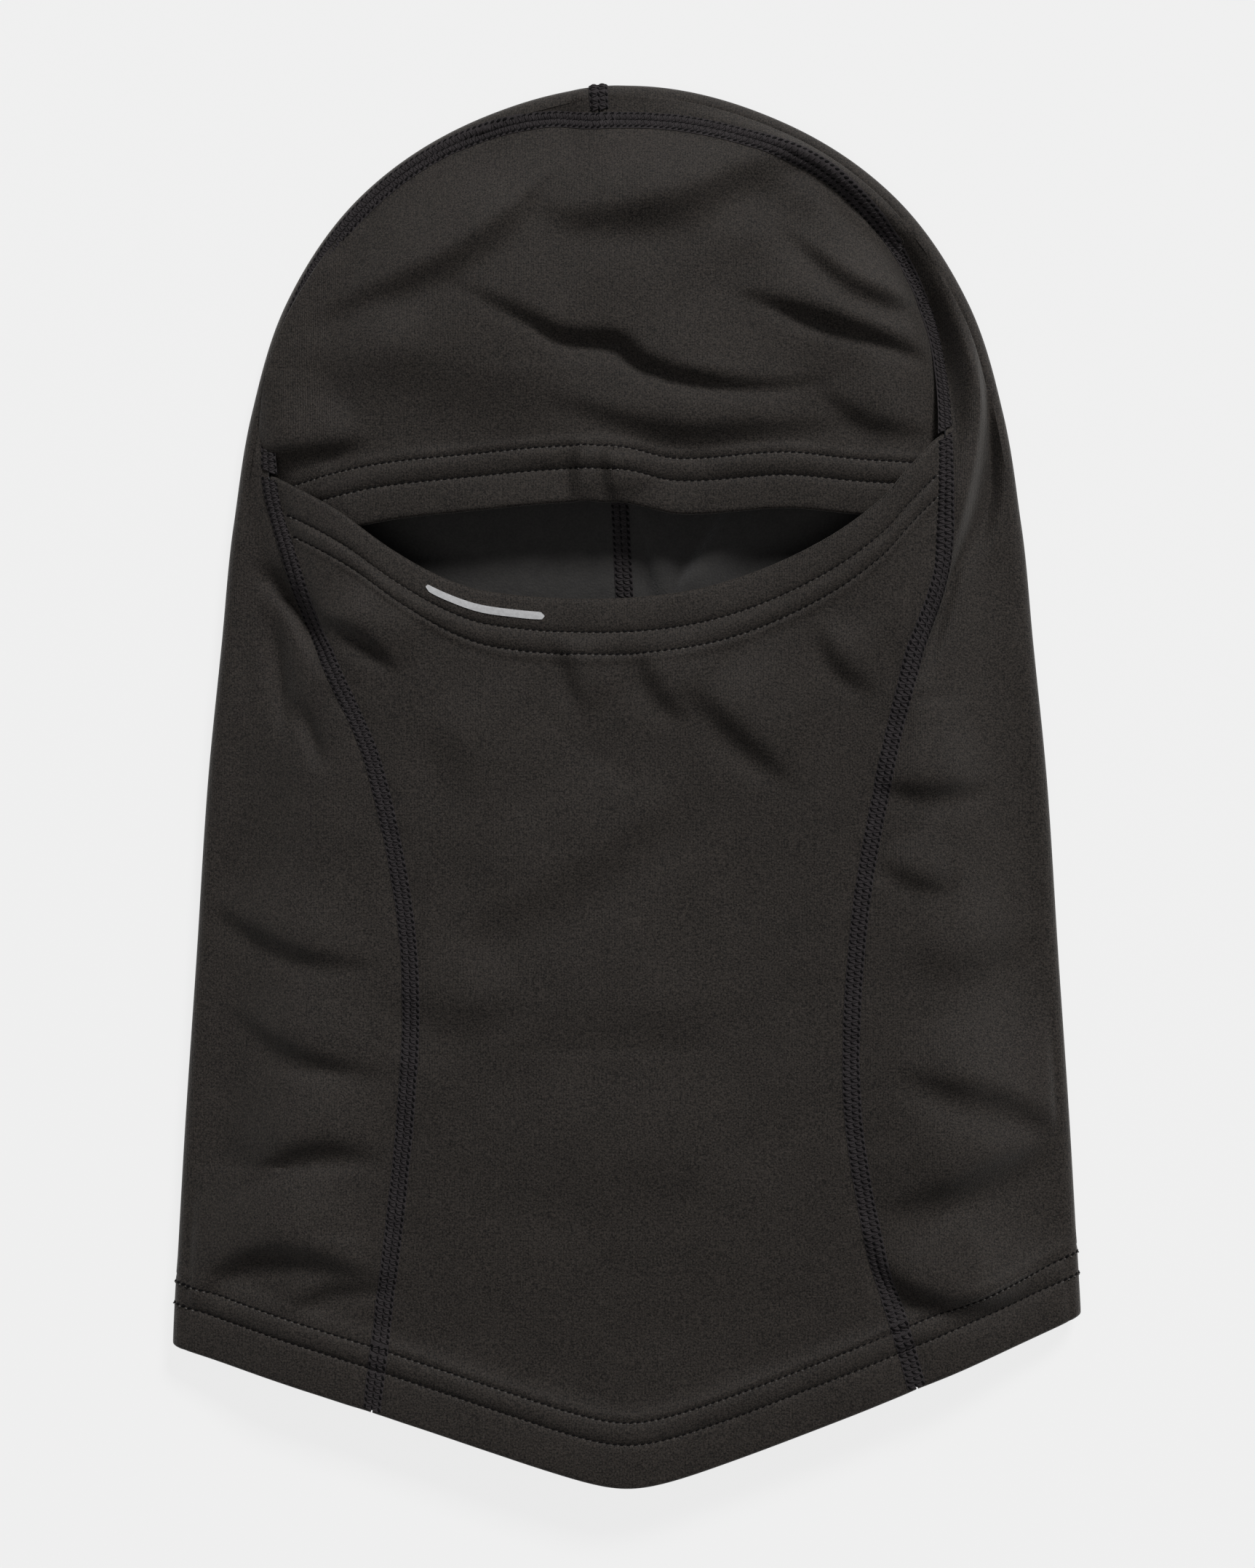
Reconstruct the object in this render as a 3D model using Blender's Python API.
"""Balaclava of stretch jersey, lying flat on its back with its front up.

Units are metres. +X is the wearer's left, +Y runs from the neck to the crown, and +Z points up
from the surface that the back lies on. The origin is on that surface, under the middle.

Four cloth panels make the hood: a brow panel, a face panel that laps over it at both ends of the
eye slit, and a left and a right hood panel, which wrap from the front round the side folds to the
centre back. Flatlock seams join them, and coverstitched hems finish the two slit edges and the neck.
Every piece is a thin sheet or a thread that follows one shared surface at a stated lift.
"""

import math

import bpy
from mathutils import Vector

# Driving sizes
WIDTH = 0.2660  # across the corners of the neck hem, at the middle of the cloth
LENGTH = 0.4100  # from the crown fold to the lowest point of the neck hem, the same way
CLOTH = 0.0010  # thickness of the brushed stretch jersey
FOLD_RADIUS = 0.0035  # of the side folds, at the middle of the cloth
LOFT = 0.0090  # how far the middle of the front stands above its edges
LOFT_RUN = 0.070  # distance from the outline over which the front rises
NECK_LOFT = 0.6  # share of the loft that is left at the neck opening
NECK_LOFT_RUN = 0.10  # distance from the neck over which the full loft is reached
GAP = 0.0003  # between pieces that touch
BUTT = 0.0005  # between the edges of two panels under a seam

# Hems
NECK_HEM = 0.0200  # depth of the neck's turned-up hem
EYE_HEM = 0.0170  # depth of the hems on the two edges of the eye slit
TURN_RADIUS = 0.00065  # of a turned hem's edge, at the middle of the cloth
RAW_EDGE = 0.0011  # from the cloth's raw edge inside a hem back to the nearer row of its coverstitch
STITCH_GAUGE = 0.0064  # between the two rows of a coverstitch
NECK_STITCH = NECK_HEM - RAW_EDGE - STITCH_GAUGE  # from the neck's edge to the first row
EYE_STITCH = EYE_HEM - RAW_EDGE - STITCH_GAUGE  # from a slit edge to the first row
THREAD = 0.0005  # diameter of a row of needle thread
LOOPER = 0.0004  # thickness of the threads on the inside of a stitch
LOOPER_MARGIN = 0.0005  # how far the inside threads reach past the outer rows

# Seams
SEAM = 0.0052  # width of a flatlock seam
SEAM_COVER = 0.0005  # thickness of its cover threads
SEAM_LIFT = 0.0010  # how far a seam or hem on the underside is drawn up off the surface
SEAM_RAMP = 0.0060  # over which the cloth comes down again beside it
SEAM_SPARE = 0.0010  # how far past its edge the lifted cloth stays level
STITCH_CLEAR = 0.0022  # between a side seam and where the slit hems' stitching stops
STITCH_END = SEAM / 2 + STITCH_CLEAR
STITCH_FIRST = 0.08 * NECK_HEM  # from the neck's edge to where a seam's threads start
CORNER_SPARE = 0.012  # climb between a face seam's threads and the corner of the slit
HOP_CLEAR = 0.0006  # from a seam to where a row of neck stitches is fully up on it
HOP_RUN = 0.0024  # over which the row climbs there

# The lap at the ends of the eye slit, where the face panel lies over the brow panel
LAP_UP = 0.0026  # rise of the face panel there
LAP_DOWN = 0.0026  # dip of the brow panel there
LAP_FULL = 0.030  # the face panel is fully up from this far below the corner
LAP_RUN = 0.045  # length of the ramp up to there
BROW_FULL = 0.002  # the brow panel is fully down to this far above the corner
BROW_RUN = 0.028  # length of the ramp from there
LAP_CORNER = {1: 0.50, -1: 0.45}  # height of each corner as a share of HALF_L
LAP_START = {1: 0.30, -1: 0.42}  # where the lap fades out along the slit, as a share of HALF_W
LAP_FADE = 0.18  # the width of that fade, as a share of HALF_W

# Neck edge: a rounded V, deeper at the front, with the left corner a little higher
FRONT_DIP = 0.0450  # from the corners to the lowest point of the front
BACK_DIP = 0.0280
DIP_ROUND = 0.012  # half width of the rounded point
NECK_TILT = 0.034

# Small pieces
LABEL_WIDTH, LABEL_LENGTH, LABEL = 0.028, 0.034, 0.0004
LABEL_X = 0.026
LABEL_GAP = 0.0020  # between the label and the raw edge of the neck hem
MARK_WIDTH, MARK_LENGTH, MARK = 0.0022, 0.030, 0.0003
MARK_X = -0.041
MARK_INSET = 0.55 * EYE_STITCH  # from the slit edge to the middle of the printed bar

HALF_W, HALF_L = WIDTH / 2, LENGTH / 2
QUARTER_TURN = FOLD_RADIUS * math.pi / 2
LIFT_OUT = CLOTH / 2 + GAP  # from the middle of the cloth to what lies on it

# Half of the outline from the neck corner up to the crown, as shares of HALF_W and HALF_L
OUTLINE = (
    (1.010, -1.00), (1.000, -0.78), (0.990, -0.66), (0.974, -0.48), (0.950, -0.25), (0.925, 0.00),
    (0.896, 0.19), (0.868, 0.37), (0.828, 0.53), (0.750, 0.69), (0.590, 0.84), (0.345, 0.947), (0.0, 1.0),
)
DOME_Y = 0.19 * HALF_L  # above this the outline is followed round the point (0, DOME_Y)
SEAM_ANGLE = math.radians(93)  # direction of the centre seam where it crosses the crown
CROWN_START = 0.73 * HALF_L  # the centre seam lifts the front, near the crown, from here up
CROWN_RAMP = 0.020  # over which that lift comes in, and how far it reaches in from the outline

# How far each front seam lies inside the outline, as shares of HALF_W, against the climb:
# 0 to 1 is the neck hem, 1 to 2 the side and 2 to 3 the dome, where the seams meet.
LEFT_SEAM = (
    (0.0, 0.37), (0.9, 0.40), (1.14, 0.45), (1.36, 0.48), (1.62, 0.435), (1.82, 0.36), (2.0, 0.27),
    (2.16, 0.195), (2.37, 0.150), (2.54, 0.090), (2.72, 0.056), (2.86, 0.075), (3.0, 0.079),
)
RIGHT_SEAM = (
    (0.0, 0.445), (1.07, 0.465), (1.36, 0.488), (1.58, 0.47), (1.83, 0.37), (2.0, 0.235),
    (2.17, 0.143), (2.30, 0.068), (2.5, 0.032), (2.66, 0.026), (2.84, 0.031), (2.94, 0.053), (3.0, 0.079),
)
FACE_CORNER = {1: 2.37, -1: 2.30}  # climb of each upper corner of the face panel
SIDE_STEPS, TEMPLE_STEPS, CROWN_STEPS = 9, 6, 12  # rows of the cloth up the side, to the corner and beyond it
BROW_START = 4  # the brow panel's lower corner is this many of the temple's rows up
SHOULDER = 6  # its side turns into its top this many rows above the face panel's corner

# The slit edges between their corners, as (share of HALF_W, share of HALF_L)
FACE_EDGE = (
    (-0.64, 0.388), (-0.52, 0.333), (-0.41, 0.293), (-0.31, 0.272), (-0.10, 0.261), (0.10, 0.269),
    (0.26, 0.295), (0.43, 0.345), (0.55, 0.400), (0.62, 0.450),
)
BROW_EDGE = (
    (-0.55, 0.374), (-0.35, 0.389), (-0.13, 0.402), (0.0, 0.400), (0.12, 0.385), (0.35, 0.394), (0.52, 0.385),
)

COLOURS = {
    "jersey": ((0.026, 0.023, 0.020), 0.85),
    "thread": ((0.014, 0.014, 0.018), 0.60),
    "label": ((0.060, 0.058, 0.055), 0.55),
    "print": ((0.62, 0.62, 0.62), 0.45),
}


# ---------------------------------------------------------------- curves and levels


def smooth(t):
    """0 below 0, 1 above 1, and a smooth step between."""
    t = min(max(t, 0.0), 1.0)
    return t * t * (3 - 2 * t)


def through(points, t):
    """The value at t of the smooth curve through (t, value) points in rising order of t."""
    last = len(points) - 1
    i = max(k for k in range(last) if k == 0 or points[k][0] <= t)

    def slope(k):
        a, b = points[max(k - 1, 0)], points[min(k + 1, last)]
        return (b[1] - a[1]) / (b[0] - a[0])

    (t0, v0), (t1, v1) = points[i], points[i + 1]
    span = t1 - t0
    s = (t - t0) / span
    if s > 1:
        return v1 + (t - t1) * slope(i + 1)
    if s < 0:
        return v0 + (t - t0) * slope(i)
    return (
        v0 * (1 + 2 * s) * (1 - s) ** 2 + slope(i) * span * s * (1 - s) ** 2
        + v1 * s * s * (3 - 2 * s) + slope(i + 1) * span * s * s * (s - 1)
    )


def between(points, t):
    """The value at t on the straight runs through (t, value) points."""
    i = max(k for k in range(len(points) - 1) if k == 0 or points[k][0] <= t)
    (t0, v0), (t1, v1) = points[i], points[i + 1]
    return v0 + (v1 - v0) * (t - t0) / (t1 - t0)


def spread(first, last, steps):
    """Evenly spaced values from first to last, both included."""
    return [first + (last - first) * k / steps for k in range(steps + 1)]


SIDE_POINTS = [(y * HALF_L, x * HALF_W) for x, y in OUTLINE if y < 0.7]
DOME_POINTS = sorted(
    (math.atan2(y * HALF_L - DOME_Y, x * HALF_W), math.hypot(x * HALF_W, y * HALF_L - DOME_Y))
    for x, y in OUTLINE if y > -0.3
)
# The outline is its own mirror image, so the dome's radius carries on evenly past the crown.
DOME_POINTS += [(math.pi - a, r) for a, r in reversed(DOME_POINTS[-4:-1])]


def half_width(y):
    return through(SIDE_POINTS, y)


def dome_radius(angle):
    return through(DOME_POINTS, angle)


def depth_inside(x, y):
    """Distance in plan from the outline to a point inside it."""
    if y < DOME_Y:
        return half_width(y) - abs(x)
    return dome_radius(math.atan2(y - DOME_Y, abs(x))) - math.hypot(x, y - DOME_Y)


def neck_edge(x, dip):
    """The Y of the neck's edge at x, for the front's dip or the back's."""
    run = math.sqrt(x * x + DIP_ROUND ** 2) - DIP_ROUND
    full_run = math.sqrt(HALF_W ** 2 + DIP_ROUND ** 2) - DIP_ROUND
    return -HALF_L + FRONT_DIP - dip + dip * run / full_run + NECK_TILT * x * abs(x) / HALF_W


def centre_x(y):
    """The X of the centre-back seam at y."""
    return -max(y - DOME_Y, 0) * math.tan(SEAM_ANGLE - math.pi / 2)


def hem_rise(y, x, dip):
    """How far the neck hem stands off the surface."""
    return SEAM_LIFT * smooth((neck_edge(x, dip) + NECK_HEM + SEAM_RAMP - y) / SEAM_RAMP)


def seam_rise(x, y):
    """How far the centre-back seam is drawn up off the surface."""
    return SEAM_LIFT * smooth((SEAM / 2 + SEAM_RAMP + SEAM_SPARE - abs(x - centre_x(y))) / SEAM_RAMP)


def near_crown(y):
    return smooth((y - CROWN_START) / CROWN_RAMP)


def back_level(x, y):
    """Z of the middle of the back's cloth, away from the folds."""
    return CLOTH / 2 + hem_rise(y, x, BACK_DIP) + seam_rise(x, y)


def fold_centre(x, y):
    """Z of the middle of the side fold next to a point of the outline."""
    return CLOTH / 2 + FOLD_RADIUS + hem_rise(y, x, FRONT_DIP) + seam_rise(x, y) * near_crown(y)


def front_level(x, y):
    """Z of the middle of the front's cloth, from the side fold inwards."""
    depth = depth_inside(x, y)
    by_outline = smooth((CROWN_RAMP - depth) / (CROWN_RAMP / 2))
    level = CLOTH / 2 + FOLD_RADIUS + hem_rise(y, x, FRONT_DIP) + seam_rise(x, y) * near_crown(y) * by_outline
    if depth < FOLD_RADIUS:
        return level + math.sqrt(max(FOLD_RADIUS ** 2 - (FOLD_RADIUS - depth) ** 2, 0.0))
    from_neck = smooth((y - neck_edge(x, FRONT_DIP)) / NECK_LOFT_RUN)
    loft = LOFT * (NECK_LOFT + (1 - NECK_LOFT) * from_neck)
    return level + FOLD_RADIUS + loft * smooth((depth - FOLD_RADIUS) / LOFT_RUN)


def lap(x, y, above):
    """1 where the two slit edges lap at a corner, fading along the slit and away from it."""
    side = 1 if x > 0 else -1
    corner_y = LAP_CORNER[side] * HALF_L
    sideways = smooth((abs(x) - LAP_START[side] * HALF_W) / (LAP_FADE * HALF_W))
    if above:  # the brow panel dips up to the corner, then comes level
        return sideways * smooth((corner_y + BROW_FULL + BROW_RUN - y) / BROW_RUN)
    return sideways * smooth((y - corner_y + LAP_FULL + LAP_RUN) / LAP_RUN)


def face_level(x, y):
    return front_level(x, y) + LAP_UP * lap(x, y, above=False)


def brow_level(x, y):
    return front_level(x, y) - LAP_DOWN * lap(x, y, above=True)


# ---------------------------------------------------------------- places on the cloth


def along_fold(side, climb, depth, dip=FRONT_DIP):
    """The plan point this far inside the outline on the rib at this climb. side is 1 or -1."""
    if climb > 2:
        limit = (SEAM_ANGLE if side > 0 else math.pi - SEAM_ANGLE) - BUTT / 2 / dome_radius(SEAM_ANGLE)
        angle = (climb - 2) * limit
        reach = dome_radius(angle) - depth
        return side * reach * math.cos(angle), DOME_Y + reach * math.sin(angle)
    x, y = side * (HALF_W - depth), 0.0
    for _ in range(8):  # the rib's Y and the outline's X settle together
        edge = neck_edge(x, dip)
        if climb < 1:
            y = edge + climb * NECK_HEM
        else:
            y = edge + NECK_HEM + (climb - 1) * (DOME_Y - edge - NECK_HEM)
        x = side * (half_width(y) - depth)
    return x, y


def seam_depth(side, climb):
    own, other = (LEFT_SEAM, RIGHT_SEAM) if side > 0 else (RIGHT_SEAM, LEFT_SEAM)
    past_crown = (6 - other[-2][0], other[-2][1])  # so that the two seams run smoothly into each other
    return HALF_W * through([(run_of(c), share) for c, share in own + (past_crown,)], run_of(climb))


HEM_TOP = (NECK_STITCH + STITCH_GAUGE) / NECK_HEM  # climb of the cloth's last row on the neck hem


def run_of(climb):
    """The climb counted evenly with distance: the neck hem is far shorter than the side above it."""
    hem = NECK_HEM / (DOME_Y + HALF_L - NECK_HEM - FRONT_DIP)
    return climb * hem if climb < 1 else climb - 1 + hem


def climbs(side):
    """The cloth's rows above the neck hem, up to the crown. Every piece beside a seam shares them."""
    ramp = SEAM_RAMP / (DOME_Y + HALF_L - NECK_HEM - FRONT_DIP)
    corner = FACE_CORNER[side]
    return (
        [1 + ramp / 2] + spread(1 + ramp, 2.0, SIDE_STEPS)
        + spread(2.0, corner, TEMPLE_STEPS)[1:] + spread(corner, 3.0, CROWN_STEPS)[1:]
    )


def seam_point(side, climb, aside=0.0):
    """Plan point of a front seam; aside moves it towards the middle of the front."""
    return along_fold(side, climb, seam_depth(side, climb) + aside)


def fold_arc(depth):
    """Arc length from the fold's outermost line to a plan depth on the front."""
    if depth < FOLD_RADIUS:
        return FOLD_RADIUS * math.acos(1 - depth / FOLD_RADIUS)
    return QUARTER_TURN + depth - FOLD_RADIUS


def across(side, climb, arc):
    """The point on the hood's cloth at an arc length from the fold: front if positive, else back."""
    turn = max(min(arc, QUARTER_TURN), -QUARTER_TURN) / FOLD_RADIUS
    depth = FOLD_RADIUS * (1 - math.cos(turn))
    beyond = abs(arc) - QUARTER_TURN
    if beyond <= 0:
        x, y = along_fold(side, climb, depth)
        return Vector((x, y, fold_centre(x, y) + FOLD_RADIUS * math.sin(turn)))
    if arc > 0:
        x, y = along_fold(side, climb, FOLD_RADIUS + beyond)
        return Vector((x, y, front_level(x, y)))
    return back_point(side, climb, beyond / back_length(side, climb))


def back_end(side, climb):
    """The plan point beside the centre-back seam where the rib at this climb ends."""
    if climb > 2:
        y = DOME_Y + (climb - 2) * (dome_radius(SEAM_ANGLE) - 4 * FOLD_RADIUS)
    else:
        y = along_row(0.0, climb)
    return centre_x(y) + side * BUTT / 2, y


def along_row(x, climb):
    """The Y of the back's row at this climb, up to the dome."""
    edge = neck_edge(x, BACK_DIP)
    if climb < 1:
        return edge + climb * NECK_HEM
    return edge + NECK_HEM + (climb - 1) * (DOME_Y - edge - NECK_HEM)


def back_length(side, climb):
    start, end = Vector(along_fold(side, climb, FOLD_RADIUS)), Vector(back_end(side, climb))
    return (end - start).length


BACK_RAMP = 0.1  # share of a back row over which it comes down from the fold to the surface


def back_point(side, climb, share):
    """A point on the back, from the side fold at share 0 to the centre seam at share 1."""
    x0, y0 = along_fold(side, climb, FOLD_RADIUS)
    x1, y1 = back_end(side, climb)
    x = x0 + (x1 - x0) * share
    y = y0 + (y1 - y0) * share
    if climb <= 2:
        y = along_row(x, climb) + (y0 - along_row(x0, climb)) * (1 - share)
    step = back_level(x0, y0) - fold_centre(x0, y0) + FOLD_RADIUS
    return Vector((x, y, back_level(x, y) - step * (1 - smooth(share / BACK_RAMP))))


def normal_of(place, u, v, out, step=1e-5):
    """Unit normal of the surface place(u, v), on the side of the point out."""
    du = place(u + step, v) - place(u - step, v)
    dv = place(u, v + step) - place(u, v - step)
    normal = du.cross(dv).normalized()
    return normal if normal.dot(out) >= 0 else -normal


UP, DOWN = Vector((0, 0, 1)), Vector((0, 0, -1))


def on_level(level, x, y, lift):
    """A point lifted off a level surface along its normal."""
    point = Vector((x, y, level(x, y)))
    if not lift:
        return point
    return point + lift * normal_of(lambda a, b: Vector((a, b, level(a, b))), x, y, UP)


def on_hood(side, climb, arc, lift):
    """A point lifted off the hood's cloth, outwards if lift is positive."""
    point = across(side, climb, arc)
    if not lift:
        return point
    turn = max(min(arc / FOLD_RADIUS, math.pi / 2), -math.pi / 2)
    x, y = along_fold(side, climb, 0.0)
    inner_x, inner_y = along_fold(side, climb, 0.01)
    outward = Vector((x - inner_x, y - inner_y, 0)).normalized() * math.cos(turn) + UP * math.sin(turn)
    return point + lift * normal_of(lambda a, b: across(side, b, a), arc, climb, outward)


def hem_rows(depth, stitch):
    """Rows of a turned hem as (distance from the edge, lift), from its raw edge round to the outside."""
    turn = [math.radians(a) for a in (-50, 0, 50)]
    inside = [(depth, -2 * TURN_RADIUS), (stitch, -2 * TURN_RADIUS), (TURN_RADIUS, -2 * TURN_RADIUS)]
    edge = [(TURN_RADIUS * (1 - math.cos(a)), TURN_RADIUS * (math.sin(a) - 1)) for a in turn]
    return inside + edge + [(TURN_RADIUS, 0.0), (stitch, 0.0), (stitch + STITCH_GAUGE, 0.0)]


# ---------------------------------------------------------------- making the pieces


def material(name):
    found = bpy.data.materials.get(name)
    if found:
        return found
    colour, roughness = COLOURS[name]
    made = bpy.data.materials.new(name)
    made.use_nodes = True
    shader = made.node_tree.nodes["Principled BSDF"]
    shader.inputs["Base Color"].default_value = (*colour, 1)
    shader.inputs["Roughness"].default_value = roughness
    shader.inputs["Metallic"].default_value = 0.0
    return made


def sheet(name, rows, thickness, finish, ring=False):
    """A thin closed solid around the middle surface through rows of points. A ring joins its ends."""
    width, height = len(rows[0]), len(rows)
    faces = []
    for j in range(height - 1):
        for i in range(width if ring else width - 1):
            k = (i + 1) % width
            faces.append((j * width + i, j * width + k, (j + 1) * width + k, (j + 1) * width + i))
    mesh = bpy.data.meshes.new(name)
    mesh.from_pydata([point for row in rows for point in row], [], faces)
    mesh.update()
    mesh.materials.append(material(finish))
    piece = bpy.data.objects.new(name, mesh)
    bpy.context.scene.collection.objects.link(piece)
    wall = piece.modifiers.new("cloth", "SOLIDIFY")
    wall.thickness = thickness
    wall.offset = 0
    wall.use_even_offset = True
    mesh.shade_smooth()
    mesh.set_sharp_from_angle(angle=math.radians(50))
    return piece


def thread(name, points, ring=False):
    """A row of needle thread as a thin tube along its points."""
    curve = bpy.data.curves.new(name, "CURVE")
    curve.dimensions = "3D"
    curve.bevel_depth = THREAD / 2
    curve.bevel_resolution = 0
    curve.use_fill_caps = True
    spline = curve.splines.new("POLY")
    spline.points.add(len(points) - 1)
    for place, point in zip(spline.points, points):
        place.co = (*point, 1)
    spline.use_cyclic_u = ring
    curve.materials.append(material("thread"))
    piece = bpy.data.objects.new(name, curve)
    bpy.context.scene.collection.objects.link(piece)
    return piece


# ---------------------------------------------------------------- front panels


def blended(left, right, low, high, u, v):
    """A point of the patch between four plan curves: left(v), right(v), low(u) and high(u)."""
    corners = (
        (Vector(left(0)) * (1 - u) + Vector(right(0)) * u) * (1 - v)
        + (Vector(left(1)) * (1 - u) + Vector(right(1)) * u) * v
    )
    return (
        Vector(low(u)) * (1 - v) + Vector(high(u)) * v
        + Vector(left(v)) * (1 - u) + Vector(right(v)) * u - corners
    )


def edge_curve(points, start, end):
    """The smooth slit edge from one corner through its points to the other, as a function of 0 to 1."""
    line = [tuple(start)] + [(x * HALF_W, y * HALF_L) for x, y in points] + [tuple(end)]
    run = [0.0]
    for a, b in zip(line, line[1:]):
        run.append(run[-1] + math.dist(a, b))
    xs = [(d / run[-1], p[0]) for d, p in zip(run, line)]
    ys = [(d / run[-1], p[1]) for d, p in zip(run, line)]
    return lambda u: (through(xs, u), through(ys, u))


def face_stations():
    """The face panel's rows as (v, climb) pairs for each side, from the neck's edge to the slit."""
    found = {}
    for side in (1, -1):
        steps = [0.0, HEM_TOP] + climbs(side)[: 2 + SIDE_STEPS + TEMPLE_STEPS]
        low, high = seam_point(side, steps[0])[1], seam_point(side, steps[-1])[1]
        found[side] = [(c, (seam_point(side, c)[1] - low) / (high - low)) for c in steps]
    return {
        side: [((share + other[1]) / 2, c) for (c, share), other in zip(found[side], found[-side])]
        for side in found
    }


FACE_STATIONS = face_stations()


def face_patch(u, v):
    """Plan point of the face panel: u across from the right seam, v up from the neck to the slit."""
    def side_line(side):
        return lambda s: seam_point(side, between(FACE_STATIONS[side], s), BUTT / 2)

    def neck(t):
        x0, x1 = seam_point(-1, 0, BUTT / 2)[0], seam_point(1, 0, BUTT / 2)[0]
        x = x0 + (x1 - x0) * t
        return x, neck_edge(x, FRONT_DIP)

    right, left = side_line(-1), side_line(1)
    return blended(right, left, neck, edge_curve(FACE_EDGE, right(1), left(1)), u, v)


BROW_ROWS = TEMPLE_STEPS - BROW_START + SHOULDER


def brow_climb(side, share):
    """The climb at a share of the way up the brow panel's side."""
    steps = climbs(side)[1 + SIDE_STEPS + BROW_START :][: 1 + BROW_ROWS]
    return between(list(zip(spread(0.0, 1.0, len(steps) - 1), steps)), share)


def brow_patch(u, v):
    """Plan point of the brow panel: u across, v up from the slit to the crown seam."""
    def side_line(side):
        return lambda s: seam_point(side, brow_climb(side, s), BUTT / 2)

    def crown(t):
        side = -1 if t < 0.5 else 1
        shoulder = brow_climb(side, 1)
        return seam_point(side, 3 - (3 - shoulder) * abs(2 * t - 1), BUTT / 2)

    right, left = side_line(-1), side_line(1)
    return blended(right, left, edge_curve(BROW_EDGE, right(0), left(0)), crown, u, v)


def column_length(patch, u):
    return (Vector(patch(u, 1)) - Vector(patch(u, 0))).length


def on_patch(patch, level, u, edge, distance, lift):
    """A point at a distance in from the patch's low (0) or high (1) edge, lifted off its level."""
    share = distance / column_length(patch, u)
    x, y = patch(u, share if edge == 0 else 1 - share)
    return on_level(level, x, y, lift)


FACE_COLUMNS = spread(0.0, 1.0, 14)
BROW_COLUMNS = spread(0.0, 1.0, 2 * (CROWN_STEPS - SHOULDER))


def face_panel():
    """The face and neck panel, with its neck hem and its slit hem turned in."""
    rows = [
        [on_patch(face_patch, face_level, u, 0, d, lift) for u in FACE_COLUMNS]
        for d, lift in hem_rows(NECK_HEM, NECK_STITCH)
    ]
    shortest = min(column_length(face_patch, u) for u in FACE_COLUMNS)
    slit_hem = 1 - (EYE_HEM + SEAM_RAMP) / shortest
    for v, _ in FACE_STATIONS[1]:
        if FACE_STATIONS[1][1][0] < v < slit_hem:
            rows.append([on_level(face_level, *face_patch(u, v), 0.0) for u in FACE_COLUMNS])
    top = [
        [on_patch(face_patch, face_level, u, 1, d, lift) for u in FACE_COLUMNS]
        for d, lift in hem_rows(EYE_HEM, EYE_STITCH)
    ]
    return sheet("face_panel", rows + top[::-1], CLOTH, "jersey")


def brow_panel():
    """The brow panel, with its slit hem turned in."""
    rows = [
        [on_patch(brow_patch, brow_level, u, 0, d, lift) for u in BROW_COLUMNS]
        for d, lift in hem_rows(EYE_HEM, EYE_STITCH)
    ]
    for v in spread(0.0, 1.0, BROW_ROWS)[2:]:
        rows.append([on_level(brow_level, *brow_patch(u, v), 0.0) for u in BROW_COLUMNS])
    return sheet("brow_panel", rows, CLOTH, "jersey")


# ---------------------------------------------------------------- hood panels


def nose_arcs():
    return spread(QUARTER_TURN, -QUARTER_TURN, 6)


def hood_columns(side, climb):
    """Arc lengths across a hood panel, from the front seam round the fold to the centre back."""
    front = fold_arc(seam_depth(side, climb) - BUTT / 2)
    nose = QUARTER_TURN if front > QUARTER_TURN * 1.2 else front * 0.8
    centre = QUARTER_TURN + back_length(side, climb)
    plain = QUARTER_TURN + (centre - QUARTER_TURN) * BACK_RAMP
    drawn = max(centre - SEAM / 2 - SEAM_RAMP - SEAM_SPARE, plain + (centre - plain) / 2)
    back = spread(QUARTER_TURN, plain, 2)[1:] + spread(plain, drawn, 2)[1:] + spread(drawn, centre, 3)[1:]
    return spread(front, nose, 4) + spread(nose, -QUARTER_TURN, 6)[1:] + [-a for a in back]


def hood_panel(side, name):
    """One side of the hood: front strip, side fold and half of the back, in one piece of cloth."""
    rows = []
    for distance, lift in hem_rows(NECK_HEM, NECK_STITCH):
        climb = distance / NECK_HEM
        rows.append([on_hood(side, climb, arc, lift) for arc in hood_columns(side, climb)])
    rows += [[across(side, c, arc) for arc in hood_columns(side, c)] for c in climbs(side)]
    return sheet(name, rows, CLOTH, "jersey")


# ---------------------------------------------------------------- seams


def seam_lap(x, y, lift):
    """How far a front seam's threads follow the lapped panels: up outside, down inside."""
    if lift > 0:
        return LAP_UP * lap(x, y, above=False)
    return -LAP_DOWN * lap(x, y, above=True)


def front_seam(name, stations, lift, thickness, lapped):
    """A strip of threads along a front seam. stations are (side, climb) pairs along it."""
    rows = []
    for side, climb in stations:
        middle = fold_arc(seam_depth(side, climb))
        row = [on_hood(side, climb, middle + share * SEAM / 2, lift) for share in (-1, -0.5, 0, 0.5, 1)]
        if lapped:
            for point in row:
                point.z += seam_lap(point.x, point.y, lift)
        rows.append(row)
    return sheet(name, rows, thickness, "thread")


COVER_LIFT = LIFT_OUT + SEAM_COVER / 2
INSIDE_LIFT = -(LIFT_OUT + LOOPER / 2)


def face_seam(side, name):
    """The flatlock seam from the neck edge to the corner of the slit: cover outside, looper inside."""
    to_corner = climbs(side)[: 1 + SIDE_STEPS + TEMPLE_STEPS]
    outside = [STITCH_FIRST / NECK_HEM, HEM_TOP] + to_corner + [FACE_CORNER[side] - CORNER_SPARE]
    inside = [1.03] + to_corner[2 : 1 + SIDE_STEPS]
    front_seam(name + "_cover_thread", [(side, c) for c in outside], COVER_LIFT, SEAM_COVER, True)
    front_seam(name + "_looper_thread", [(side, c) for c in inside], INSIDE_LIFT, LOOPER, False)


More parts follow.
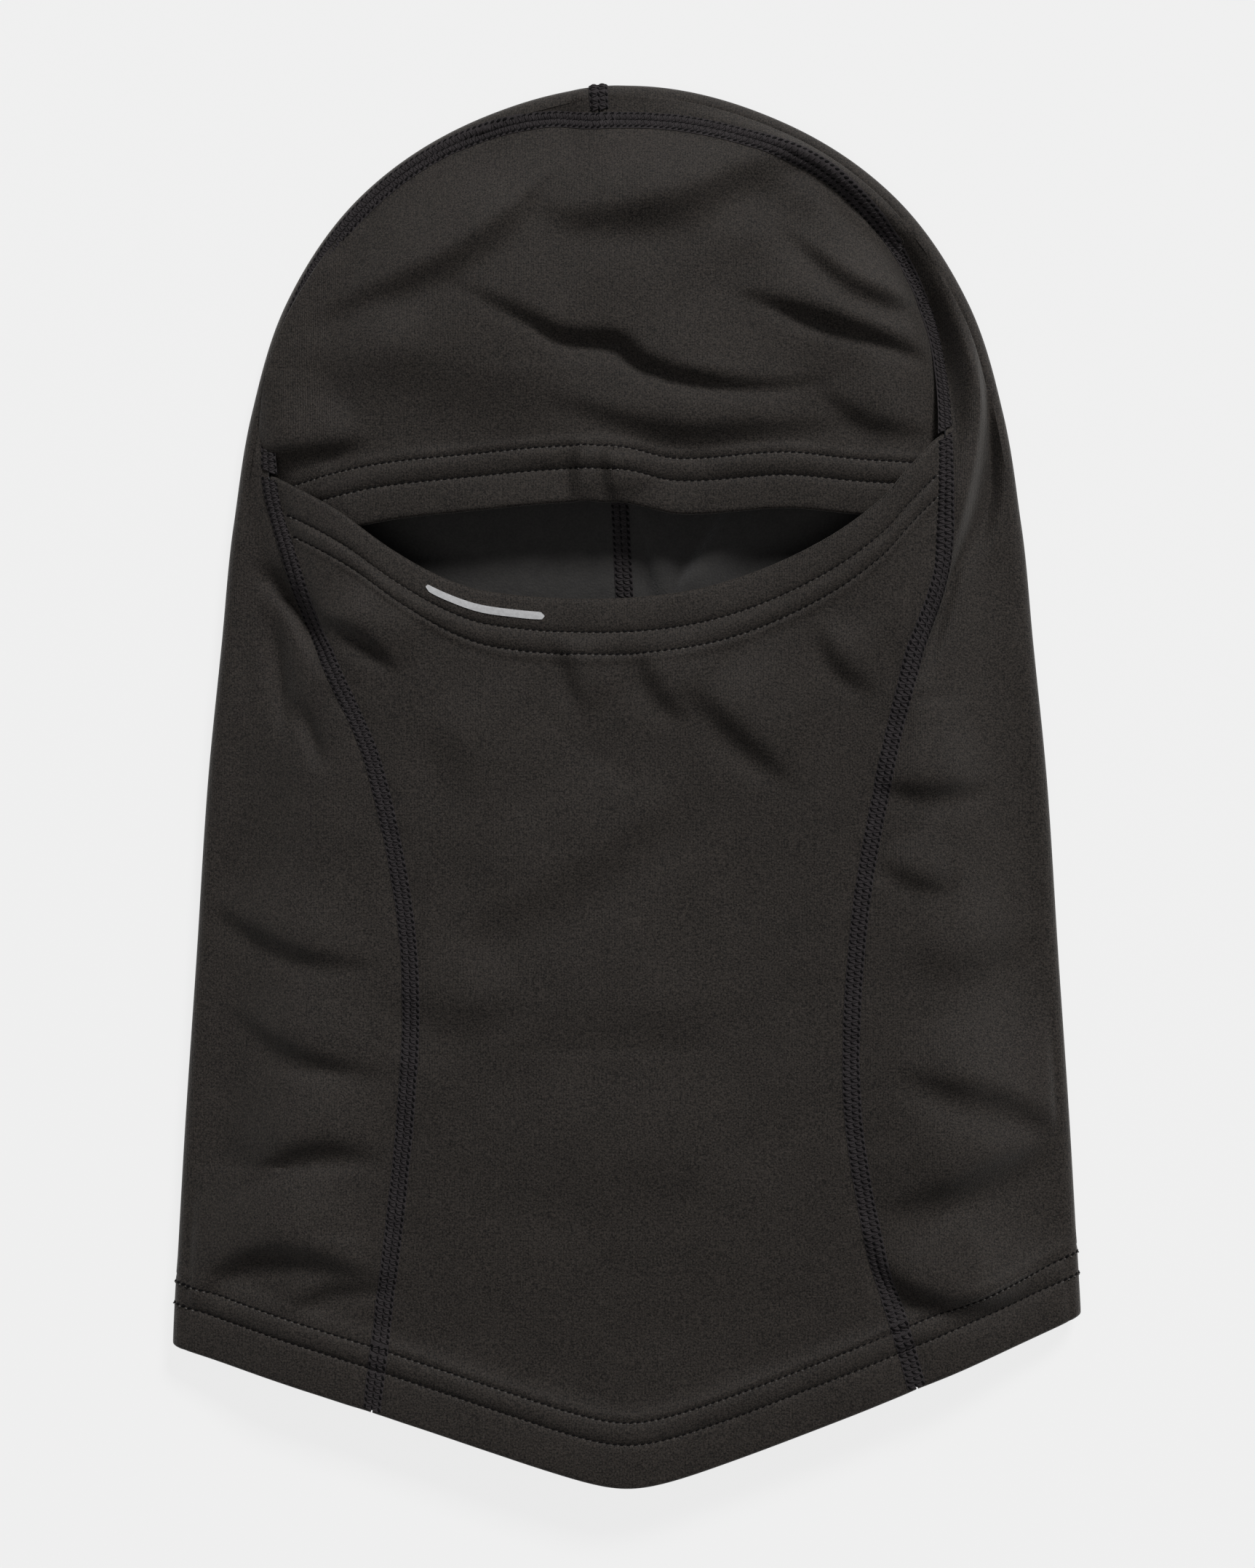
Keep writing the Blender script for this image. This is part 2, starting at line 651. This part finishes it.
def crown_seam():
    """The flatlock seam over the crown, from one corner of the slit to the other."""
    def stations(beyond_corner, skipped):
        halves = [
            [(side, FACE_CORNER[side] + beyond_corner)]
            + [(side, c) for c in climbs(side)[2 + SIDE_STEPS + TEMPLE_STEPS + skipped :]]
            for side in (-1, 1)
        ]
        return halves[0] + halves[1][-2::-1]

    front_seam("crown_seam_cover_thread", stations(0.03, 0), COVER_LIFT, SEAM_COVER, False)
    front_seam("crown_seam_looper_thread", stations(0.13, 2), INSIDE_LIFT, LOOPER, True)


def up_back(first, lift):
    """Rows of the centre seam's threads up the back, from a distance above the neck's edge to the crown."""
    edge = neck_edge(0.0, BACK_DIP)
    near = [d for d in (first, NECK_HEM, NECK_HEM + SEAM_RAMP / 2, NECK_HEM + SEAM_RAMP) if d >= first]
    crown = DOME_Y + dome_radius(SEAM_ANGLE) - 1.2 * FOLD_RADIUS
    rows = []
    for y in [edge + d for d in near] + spread(edge + NECK_HEM + SEAM_RAMP, crown, 8)[1:]:
        across_seam = [centre_x(y) + offset for offset in (-SEAM / 2, 0.0, SEAM / 2)]
        rows.append([Vector((x, y, back_level(x, y) - lift)) for x in across_seam])
    return rows


def over_crown(arcs, lift):
    """Rows of the centre seam's threads round the crown fold."""
    aside = 3.0 - SEAM / 2 / (dome_radius(SEAM_ANGLE) * SEAM_ANGLE)
    rows = []
    for arc in arcs:
        beside = on_hood(-1, aside, arc, lift), on_hood(1, aside, arc, lift)
        middle = (on_hood(-1, 3.0, arc, lift) + on_hood(1, 3.0, arc, lift)) / 2
        rows.append([beside[0], middle, beside[1]])
    return rows


def centre_back_seam():
    """The flatlock seam up the centre back and over the crown."""
    crown_seam_edge = fold_arc(seam_depth(1, 3.0)) - SEAM / 2 - 2 * GAP
    over = nose_arcs()[::-1] + spread(QUARTER_TURN, crown_seam_edge, 2)[1:]
    rows = up_back(STITCH_FIRST, COVER_LIFT) + over_crown(over, COVER_LIFT)
    sheet("centre_back_seam_cover_thread", rows, SEAM_COVER, "thread")
    rows = up_back(NECK_HEM + 3 * GAP, INSIDE_LIFT) + over_crown(nose_arcs()[::-1], INSIDE_LIFT)
    sheet("centre_back_seam_looper_thread", rows, LOOPER, "thread")


# ---------------------------------------------------------------- hem stitching


def neck_ring(distance, lift, hop=0.0):
    """Points all round the neck at a distance from its edge, from the right face seam over the front.
    hop lifts them over the flatlock seams."""
    climb = distance / NECK_HEM
    beside = SEAM / 2 + HOP_CLEAR
    clear = beside + HOP_RUN
    level = clear + SEAM_RAMP  # from here on the row runs as it does everywhere else

    def hopping(offset):
        return lift + hop * smooth((clear - abs(offset)) / (clear - beside))

    points = []
    x0, x1 = seam_point(-1, climb)[0], seam_point(1, climb)[0]
    near = [0.0, beside, clear]
    for x in [x0 + d for d in near] + spread(x0 + level, x1 - level, 16) + [x1 - d for d in near[::-1]]:
        offset = min(x - x0, x1 - x)
        points.append(on_level(front_level, x, neck_edge(x, FRONT_DIP) + distance, hopping(offset)))
    for side in (1, -1):
        seam_arc = fold_arc(seam_depth(side, climb))
        centre = QUARTER_TURN + back_length(side, climb)
        by_fold = QUARTER_TURN + FOLD_RADIUS
        arcs = [seam_arc - beside, seam_arc - clear] + spread(seam_arc - level, by_fold, 4) + nose_arcs()
        arcs += [-a for a in spread(by_fold, centre - level, 8)] + [-(centre - clear), -(centre - beside)]
        strip = []
        for arc in arcs:
            offset = min(abs(seam_arc - arc), abs(centre + arc))
            strip.append(on_hood(side, climb, arc, hopping(offset)))
        if side > 0:
            middle = (on_hood(1, climb, -centre, 0.0) + on_hood(-1, climb, -centre, 0.0)) / 2
            strip.append(middle + DOWN * hopping(0.0))
        points += strip if side > 0 else strip[::-1]
    return points


def neck_stitching():
    """The neck's coverstitch: two rows of needle thread outside, looper threads inside."""
    outside = LIFT_OUT + THREAD / 2
    hop = SEAM_COVER + GAP
    for label, distance in (("lower", NECK_STITCH), ("upper", NECK_STITCH + STITCH_GAUGE)):
        thread(f"neck_hem_{label}_needle_thread", neck_ring(distance, outside, hop), ring=True)
    inside = -(2 * TURN_RADIUS + LIFT_OUT + LOOPER / 2)
    low, high = NECK_STITCH - LOOPER_MARGIN, NECK_STITCH + STITCH_GAUGE + LOOPER_MARGIN
    rows = [neck_ring(d, inside) for d in (low, high)]
    sheet("neck_hem_looper_thread", rows, LOOPER, "thread", ring=True)


def slit_stitching(name, patch, level, edge, panel_columns):
    """A slit hem's coverstitch: two rows of needle thread outside, looper threads inside."""
    end = STITCH_END / math.dist(patch(0.0, edge), patch(1.0, edge))
    columns = [end] + [u for u in panel_columns if 2 * end < u < 1 - 2 * end] + [1 - end]
    for label, distance in (("outer", EYE_STITCH), ("inner", EYE_STITCH + STITCH_GAUGE)):
        row = [on_patch(patch, level, u, edge, distance, LIFT_OUT + THREAD / 2) for u in columns]
        thread(f"{name}_{label}_needle_thread", row)
    inside = -(2 * TURN_RADIUS + LIFT_OUT + LOOPER / 2)
    low, high = EYE_STITCH - LOOPER_MARGIN, EYE_STITCH + STITCH_GAUGE + LOOPER_MARGIN
    rows = [[on_patch(patch, level, u, edge, d, inside) for u in columns] for d in (low, high)]
    sheet(f"{name}_looper_thread", rows, LOOPER, "thread")


# ---------------------------------------------------------------- small pieces


def care_label():
    """The sewn-in label, flat against the inside of the back above the neck hem."""
    lift = LIFT_OUT + LABEL / 2
    rows = []
    for distance in spread(NECK_HEM + LABEL_GAP, NECK_HEM + LABEL_GAP + LABEL_LENGTH, 6):
        row = []
        for x in spread(LABEL_X - LABEL_WIDTH / 2, LABEL_X + LABEL_WIDTH / 2, 4):
            y = neck_edge(x, BACK_DIP) + distance
            row.append(on_level(back_level, x, y, lift))
        rows.append(row)
    return sheet("care_label", rows, LABEL, "label")


def printed_mark():
    """A plain heat-transfer bar on the face panel's slit hem."""
    lift = LIFT_OUT + MARK / 2
    first, last = face_patch(0.0, 1.0)[0], face_patch(1.0, 1.0)[0]
    middle = (MARK_X - first) / (last - first)
    half = MARK_LENGTH / 2 / (last - first)
    rows = [
        [on_patch(face_patch, face_level, u, 1, d, lift) for u in spread(middle - half, middle + half, 8)]
        for d in (MARK_INSET + MARK_WIDTH / 2, MARK_INSET - MARK_WIDTH / 2)
    ]
    return sheet("printed_mark", rows, MARK, "print")


def main():
    for old in list(bpy.data.objects):
        bpy.data.objects.remove(old)
    brow_panel()
    face_panel()
    hood_panel(1, "left_hood_panel")
    hood_panel(-1, "right_hood_panel")
    face_seam(1, "left_face_seam")
    face_seam(-1, "right_face_seam")
    crown_seam()
    centre_back_seam()
    slit_stitching("brow_hem", brow_patch, brow_level, 0, BROW_COLUMNS)
    slit_stitching("face_hem", face_patch, face_level, 1, FACE_COLUMNS)
    neck_stitching()
    care_label()
    printed_mark()


main()
